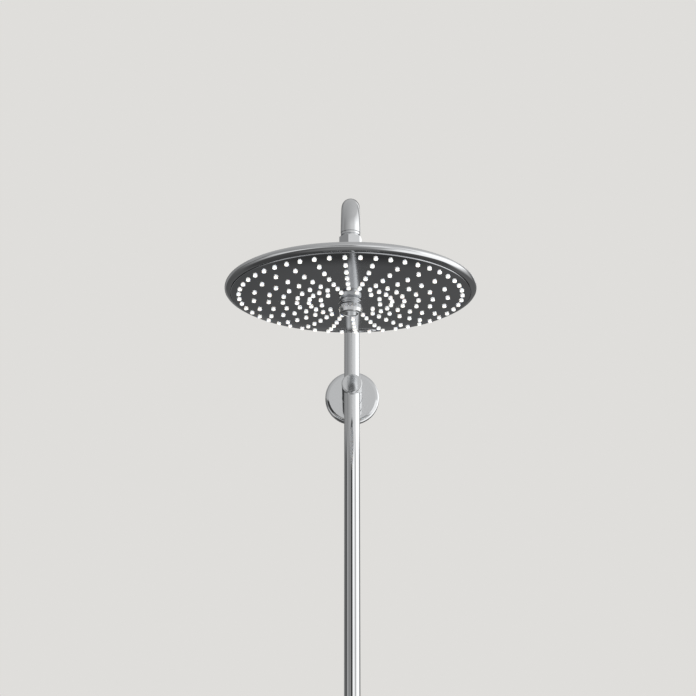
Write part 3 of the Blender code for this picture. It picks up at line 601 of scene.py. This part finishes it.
def bracket():
    """The round bar that carries the riser and the arm, its two grub screws, and the wall flange."""
    end, bar_r = -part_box("riser_bracket")[0].y / MM, 14.5
    fall, steps = 0.05, 16
    crown = [(bar_r * i / steps, end - fall * (i / steps) ** 2) for i in range(14)]
    outline = crown + [(bar_r, end - fall, 2.0), (bar_r, 4.3, 0.3), (0, 4.3)]
    bar = turned("riser_bracket_fine", outline, along="-Y", steps=128)
    riser_hole = [(0, 24), (11.9, 24), (11.4, 23.4), (11.4, -23.4), (11.9, -24), (0, -24)]
    foot_hole = [(0, 18.3), (9.4, 18.3), (9.4, 0), (0, 0)]
    for tool, at, along in ((riser_hole, RISER, "Z"), (foot_hole, (0, 0, 0), "-Y")):
        combine(bar, add("tool", turned_mesh("tool", tool, 96), at, along), "DIFFERENCE")
    for height, label in ((-7.0, "riser"), (7.0, "arm")):
        at = Vector((0, RISER.y, height))
        hole = [(0, 24), (2.3, 24), (2.3, 8), (0, 8)]
        combine(bar, add("tool", turned_mesh("tool", hole, 32), at, "back right"), "DIFFERENCE")
        outline = [(0, 13.2), (1.1, 13.2), (1.1, 15.3, 0.1), (2.0, 15.3, 0.3), (2.0, 11.3, 0.3), (0, 11.3)]
        screw = turned(label + "_grub_screw_fine", outline, at, "back right", steps=32)
        finish(screw, "steel", "column", label + "_grub_screw")
    finish(bar, "chrome", "column", "riser_bracket")
    depth = -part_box("wall_flange")[0].y / MM
    outline = [(14.6, depth, 0.3), (33.4, depth), (34.0, depth), (37.2, depth - 0.4, 1.8)]
    outline += [(39.0, depth - 2.6, 1.8), (39.0, 0.0, 0.3), (37.4, 0.0), (37.4, 4.5)]
    outline += [(35.5, depth - 1.8), (14.6, depth - 1.6)]
    finish(turned("wall_flange_fine", outline, along="-Y", steps=160), "chrome", "column", "wall_flange")


# ---------------------------------------------------------------- mixer

BODY_R = 22.0
SUPPLY_X = 75
BUTTON_X = 106


def mixer_body():
    """The valve body with its flared outlet, inlets and hose boss, bored as the CAD is."""
    outline = [(0, 95), (20.0, 95, 0.5), (20.6, 94.2), (BODY_R, 93.0, 1.0), (BODY_R, -93.0, 1.0)]
    outline += [(20.6, -94.2), (20.0, -95, 0.5), (0, -95)]
    body = turned("mixer_body_fine", outline, MIXER, "X")
    flare = [(0, 34), (14.5, 34, 0.6), (14.5, 24.5), (15.2, 21.5), (17.0, 19.0), (19.5, 16.0), (0, 10)]
    hose = [(0, 24), (13.0, 24, 0.6), (13.3, 22.6), (15.0, 19.8), (17.5, 15.0), (0, 10)]
    inlet = [(0, 29), (13.3, 29, 0.5), (13.3, 23), (14.4, 20.5), (17.0, 15.0), (0, 8)]
    combine(body, add("tool", turned_mesh("tool", flare, 96), MIXER), "UNION")
    combine(body, add("tool", turned_mesh("tool", hose, 96), MIXER, "-Z"), "UNION")
    for x in (-SUPPLY_X, SUPPLY_X):
        lug = add("tool", turned_mesh("tool", inlet, 96))
        place = Matrix.Translation((MIXER + Vector((x, 0, 0))) * MM)
        lug.data.transform(place @ Matrix.Rotation(-math.pi / 2, 4, "X"))
        combine(body, lug, "UNION")
    bores = [(16.2, 42, 100, "X"), (16.2, 42, 100, "-X"), (7.5, -60, 60, "X"), (9.0, 2, 40, "Z"),
             (8.2, 1, 30, "-Z")]
    for radius, low, high, along in bores:
        tool = [(0, high), (radius, high), (radius, low), (0, low)]
        combine(body, add("tool", turned_mesh("tool", tool, 48), MIXER, along), "DIFFERENCE")
    barrel_normals(body)
    finish(body, "chrome", "column", "mixer_body")


def barrel_normals(obj):
    """Give the valve body's round side the normals of a true cylinder, for an even mirror."""
    mesh = obj.data
    normals = [corner_normal.vector.copy() for corner_normal in mesh.corner_normals]
    for polygon in mesh.polygons:
        points = [mesh.vertices[i].co / MM - MIXER for i in polygon.vertices]
        if all(abs(math.hypot(p.y, p.z) - BODY_R) < 0.03 and abs(p.x) < 93 for p in points):
            for loop, point in zip(polygon.loop_indices, points):
                normals[loop] = Vector((0, point.y, point.z)).normalized()
    mesh.normals_split_custom_set(normals)


def riser_union():
    def fluted(radius, height, angle):
        return radius - (0.5 if radius > 16 and 28 < height < 40 else 0) * max(0, math.cos(12 * angle)) ** 6
    outline = [(11.4, 43, 0.4), (15.6, 43), (18.0, 40.6, 1.2)] + [(18.0, z) for z in (40.1, 39.9, 28.1, 27.9)]
    outline += [(18.0, 26.0, 0.8), (14.8, 26.0), (14.8, 39.0), (11.4, 39.0)]
    nut = turned("riser_union_nut_fine", outline, MIXER, steps=288, shape=fluted)
    finish(nut, "chrome", "column", "riser_union_nut")


def supply(side, label):
    """One supply: its cover plate, offset union and nut."""
    x = SUPPLY_X * side
    wall_at, mixer_at = (x, 0, MIXER.z + 8), (x, 0, MIXER.z)
    cover = [(10.9, 13.0, 0.5), (15.0, 13.1), (20.0, 12.2), (25.0, 9.8), (29.5, 6.2), (32.4, 2.0)]
    cover += [(33.0, 0.0, 0.2), (31.6, 0.0), (30.6, 3.0), (27.5, 6.2), (23.0, 9.2), (18.0, 11.2)]
    cover += [(10.9, 11.5)]
    plate = turned("escutcheon_fine_" + label, cover, wall_at, "-Y", 128)
    finish(plate, "chrome", "column", "escutcheon_" + label)
    wall_end = [(0, 24), (10.3, 24, 1.5), (10.3, 0, 0.3), (0, 0)]
    union = turned("wall_union_fine_" + label, wall_end, wall_at, "-Y")
    end = [(0, 33), (13.3, 33, 0.3), (13.3, 31, 0.3), (10.3, 31), (10.3, 18, 1.5), (0, 18)]
    combine(union, add("tool", turned_mesh("tool", end, 96), mixer_at, "-Y"), "UNION")
    for low, high, at in ((-2, 22, wall_at), (20, 36, mixer_at)):
        hole = [(0, high), (7.0, high), (7.0, low), (0, low)]
        combine(union, add("tool", turned_mesh("tool", hole, 48), at, "-Y"), "DIFFERENCE")
    finish(union, "chrome", "column", "wall_union_" + label)
    nut = hex_nut("union_nut_fine_" + label, 32.0, 28.5, 42.0, mixer_at, "-Y", 0, 13.8, 2.2, 10.8)
    finish(nut, "chrome", "column", "union_nut_" + label)


def handle(name, side):
    """A handle with grip flutes, its end cap and its push button."""
    along = "X" if side > 0 else "-X"
    knob = name + "_knob"

    def gripped(radius, height, angle):
        band = min(max((height - 114.5) / 3, 0), 1) * min(max((140.5 - height) / 3, 0), 1)
        wave = max(0.0, math.cos(20 * angle)) ** 1.5
        return radius - (0.9 * band * wave if radius > 22.5 else 0.0)

    heights = [141 - 1.0 * i for i in range(28)]
    outline = [(12.3, 147, 0.3), (20.4, 147, 1.0), (24.0, 143.4, 1.4)] + [(24.0, z) for z in heights]
    outline += [(24.0, 112.0, 0.2), (23.4, 111.6), (23.4, 111.0), (24.0, 110.6, 0.2), (24.0, 96.3, 0.6)]
    outline += [(19.5, 96.3), (19.5, 116), (6, 116), (6, 130), (2.4, 130), (2.4, 134), (5, 134), (5, 141)]
    outline += [(12.3, 141)]
    shell = turned(name + "_handle_fine", outline, MIXER, along, steps=360, shape=gripped)
    button_at = MIXER + Vector((side * BUTTON_X, 0, 0))
    hole = [(0, 30), (4.4, 30), (4.4, 12), (0, 12)]
    combine(shell, add("tool", turned_mesh("tool", hole, 48), button_at), "DIFFERENCE")
    finish(shell, "chrome", knob, name + "_handle")
    cap = [(0, 146.8), (9.0, 146.9), (10.2, 146.7, 0.2), (10.5, 146.4), (10.8, 146.7, 0.2)]
    cap += [(12.0, 147, 0.4), (12.0, 141.3), (0, 141.3)]
    finish(turned(name + "_cap_fine", cap, MIXER, along), "chrome", knob, name + "_cap")
    pill = [(0, 24.7), (2.2, 24.75), (3.2, 25.2, 0.3), (3.9, 24.6, 0.5), (3.9, 18.4), (5.3, 18.4, 0.2)]
    pill += [(5.3, 16.6, 0.2), (1.4, 16.6), (1.4, 12.5, 0.2), (0, 12.5)]
    button = turned(name + "_button_fine", pill, button_at, steps=64)
    finish(button, "button_grey", name + "_stop_button", name + "_button")
    button_spring(name, button_at)


def button_spring(name, button_at):
    """The return spring: it rides on the button."""
    node, joint = name + "_button_spring", name + "_stop_press"
    turns, steps, sides, coil_r, wire_r, travel = 4.5, 90, 10, 2.6, 0.34, 2.0
    low, high = (corner.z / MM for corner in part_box(node))
    first, last = low + wire_r + 0.02 - button_at.z, high - wire_r - 0.02 - button_at.z
    verts, faces = [], []
    for i in range(steps + 1):
        turn = 2 * math.pi * turns * i / steps
        out = Vector((math.cos(turn), math.sin(turn), 0))
        centre = out * coil_r + Vector((0, 0, first + (last - first) * i / steps))
        for j in range(sides):
            around = 2 * math.pi * j / sides
            spoke = out * math.cos(around) - Vector((0, 0, 1)) * math.sin(around)
            verts.append((centre + spoke * wire_r) * MM)
    for i in range(steps):
        for j in range(sides):
            here, beside = i * sides + j, i * sides + (j + 1) % sides
            faces.append((here, beside, beside + sides, here + sides))
    faces.append(tuple(reversed(range(sides))))
    faces.append(tuple(range(steps * sides, (steps + 1) * sides)))
    mesh = bpy.data.meshes.new(node + "_fine")
    mesh.from_pydata(verts, [], faces)
    mesh.validate()
    coil = smooth(add(node + "_fine", mesh, button_at))
    finish(coil, "steel", name + "_stop_button", node)
    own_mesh(coil)


def hose_outlet():
    threads = []
    for i in range(6):
        z = -29.2 - 1.6 * i
        threads += [(10.3, z, 0.15), (9.6, z - 0.8, 0.15)]
    outline = [(7.7, -12), (7.7, -24.3), (13.0, -24.3, 0.4), (13.0, -28, 0.6), (9.7, -28.2)] + threads
    outline += [(9.8, -40, 0.4), (5.5, -40, 0.3), (5.5, -12)]
    finish(turned("hose_outlet_fine", outline, MIXER), "chrome", "column", "hose_outlet")


# ---------------------------------------------------------------- studio

FLOOR_DROP = 1.05


def floor():
    low = CAD_BOX[0].z - FLOOR_DROP
    bpy.ops.mesh.primitive_plane_add(size=60, location=(0, -0.3, low))
    plane = bpy.context.object
    plane.name = "studio_floor"
    material, tree, shader = node_material("pale_floor", (0.72, 0.71, 0.69), 0.6)
    cloud = noise(tree, 2.0)
    shade = tint(tree, cloud.outputs["Fac"], (0.71, 0.70, 0.68), (0.73, 0.72, 0.70))
    tree.links.new(shade, shader.inputs["Base Color"])
    plane.data.materials.append(material)
    plane.visible_glossy = False


# The studio that the chrome mirrors: grey levels by azimuth, from the front, in bands from low to high
FOOT_LIGHT = ((-180, 0.05), (-110, 0.07), (-50, 0.10), (0, 0.22), (40, 0.5), (58, 1.2), (100, 1.2),
              (114, 0.10), (180, 0.05))
LOWER_LIGHT = ((-180, 0.12), (-150, 0.09), (-120, 0.12), (-95, 0.30), (-66, 0.8), (-45, 0.9), (-28, 0.6),
               (28, 0.6), (50, 1.0), (80, 1.3), (110, 1.3), (128, 0.5), (145, 0.12), (180, 0.12))
LEVEL_LIGHT = ((-180, 0.13), (-134, 0.30), (-112, 0.12), (-80, 0.10), (-72, 0.5), (-64, 0.5), (-53, 0.33),
               (-39, 0.24), (-28, 0.40), (-20, 0.30), (-15, 0.05), (2, 0.05), (9, 1.0), (20, 1.3), (30, 1.2),
               (39, 0.74), (53, 0.5), (60, 0.8), (66, 1.5), (110, 1.5), (122, 0.5), (138, 0.14), (180, 0.13))
MIDDLE_LIGHT = ((-180, 0.08), (-164, 0.08), (-154, 0.22), (-124, 0.26), (-98, 0.38), (-81, 0.30), (-66, 0.32),
                (-41, 0.42), (-17, 0.52), (0, 0.64), (17, 0.72), (34, 0.78), (41, 0.78), (60, 1.2),
                (75, 1.5), (118, 1.4), (128, 1.2), (134, 0.20), (150, 0.15), (154, 1.3), (162, 1.3),
                (166, 0.10), (180, 0.08))
BANDS = ((FOOT_LIGHT, -80, -62), (LOWER_LIGHT, -42, -34), (LEVEL_LIGHT, -9, -4), (MIDDLE_LIGHT, 13.7, 14.6))
NADIR_LIGHT = 0.20
OVERHEAD_LIGHT = (0.34, 0.66)
OVERHEAD_START = 24
OVERHEAD_END = 46
ROOM_LIGHT = (0.90, 0.89, 0.87, 1.0)
BACKDROP = (0.74, 0.73, 0.71, 1.0)


def stepped_ramp(tree, source, stops, low, high):
    """A grey level that follows stops of (degrees, level) over a range of degrees; levels are halved
    to stay within a colour and doubled again after."""
    position = spread(tree, source, 0.0, 1.0, math.radians(low), math.radians(high))
    node = new_node(tree, "ShaderNodeValToRGB")
    ramp = node.color_ramp
    while len(ramp.elements) < len(stops):
        ramp.elements.new(0.5)
    for element, (degrees, level) in zip(ramp.elements, stops):
        element.position = (degrees - low) / (high - low)
        element.color = (level / 2, level / 2, level / 2, 1.0)
    tree.links.new(position, node.inputs["Fac"])
    doubled = new_node(tree, "ShaderNodeVectorMath", operation="SCALE")
    doubled.inputs["Scale"].default_value = 2.0
    tree.links.new(node.outputs["Color"], doubled.inputs[0])
    return doubled.outputs["Vector"]


def maths(tree, operation, first, second=None):
    node = new_node(tree, "ShaderNodeMath", operation=operation)
    for socket, value in zip(node.inputs, (first, second)):
        if isinstance(value, (int, float)):
            socket.default_value = value
        elif value is not None:
            tree.links.new(value, socket)
    return node.outputs["Value"]


def blend(tree, amount, first, second):
    node = new_node(tree, "ShaderNodeMix", data_type="VECTOR")
    tree.links.new(amount, node.inputs[0])
    tree.links.new(first, node.inputs[4])
    tree.links.new(second, node.inputs[5])
    return node.outputs[1]


def studio_world():
    """Pale surroundings for the camera, and a soft studio for what the chrome mirrors."""
    world = bpy.data.worlds.new("studio")
    world.use_nodes = True
    tree = world.node_tree
    tree.nodes.clear()
    place = new_node(tree, "ShaderNodeTexCoord")
    split = new_node(tree, "ShaderNodeSeparateXYZ")
    tree.links.new(place.outputs["Generated"], split.inputs["Vector"])
    azimuth = maths(tree, "ARCTAN2", split.outputs["X"], maths(tree, "MULTIPLY", split.outputs["Y"], -1.0))
    height = maths(tree, "ARCSINE", split.outputs["Z"])
    below = new_node(tree, "ShaderNodeCombineXYZ", X=NADIR_LIGHT, Y=NADIR_LIGHT, Z=NADIR_LIGHT)
    light = below.outputs["Vector"]
    for stops, start, end in BANDS:
        amount = spread(tree, height, 0.0, 1.0, math.radians(start), math.radians(end))
        light = blend(tree, amount, light, stepped_ramp(tree, azimuth, stops, -180, 180))
    overhead = spread(tree, split.outputs["X"], *OVERHEAD_LIGHT, -1.0, 1.0)
    start, end = math.radians(OVERHEAD_START), math.radians(OVERHEAD_END)
    light = blend(tree, spread(tree, height, 0.0, 1.0, start, end), light, overhead)
    mirrored = new_node(tree, "ShaderNodeBackground", Strength=1.0)
    tree.links.new(light, mirrored.inputs["Color"])
    path = new_node(tree, "ShaderNodeLightPath")
    shown = mirrored
    for rays, colour in (("Is Diffuse Ray", ROOM_LIGHT), ("Is Camera Ray", BACKDROP)):
        plain = new_node(tree, "ShaderNodeBackground", Strength=1.0, Color=colour)
        mix = new_node(tree, "ShaderNodeMixShader")
        tree.links.new(path.outputs[rays], mix.inputs[0])
        tree.links.new(shown.outputs[0], mix.inputs[1])
        tree.links.new(plain.outputs[0], mix.inputs[2])
        shown = mix
    output = new_node(tree, "ShaderNodeOutputWorld")
    tree.links.new(shown.outputs[0], output.inputs["Surface"])
    bpy.context.scene.world = world


def panel(name, azimuth, elevation, distance, width, height, power):
    """A soft panel aimed at the head; azimuth 0 is in front, and 90 to the right."""
    light = bpy.data.lights.new(name, "AREA")
    light.shape = "RECTANGLE"
    light.size, light.size_y = width, height
    light.energy = power
    obj = bpy.data.objects.new(name, light)
    bpy.context.scene.collection.objects.link(obj)
    a, e = math.radians(azimuth), math.radians(elevation)
    aim = Vector((0, -0.3, -0.1))
    away = Vector((math.sin(a) * math.cos(e), -math.cos(a) * math.cos(e), math.sin(e)))
    obj.location = aim + away * distance
    obj.rotation_euler = away.to_track_quat("Z", "Y").to_euler()
    obj.visible_camera = False
    obj.visible_glossy = False


def lights():
    panel("key_panel", 35, 40, 3.6, 2.2, 2.2, 60)
    panel("low_front_panel", 8, -24, 1.7, 1.4, 0.9, 33)
    panel("left_panel", -70, 20, 4.2, 2.2, 2.4, 30)
    panel("back_panel", 205, 28, 4.2, 2.0, 2.6, 50)


def camera():
    data = bpy.data.cameras.new("camera")
    data.lens = 84.67
    data.sensor_width = 36.0
    obj = bpy.data.objects.new("camera", data)
    obj.location = (0.0093, -2.2922, -0.6460)
    obj.rotation_euler = (math.radians(90 + 17.526), 0.0, math.radians(0.384))
    bpy.context.scene.collection.objects.link(obj)
    bpy.context.scene.camera = obj
    bpy.context.scene.view_settings.view_transform = "Standard"


paint_frame_nodes()
head_back()
head_face()
centre_boss()
nozzles()
socket_collar()
ball_stem()
nut_and_nipple()
arm()
riser()
bracket()
mixer_body()
riser_union()
for which, way in (("left", -1), ("right", 1)):
    supply(way, which)
handle("temperature", 1)
handle("flow", -1)
hose_outlet()
floor()
studio_world()
lights()
camera()
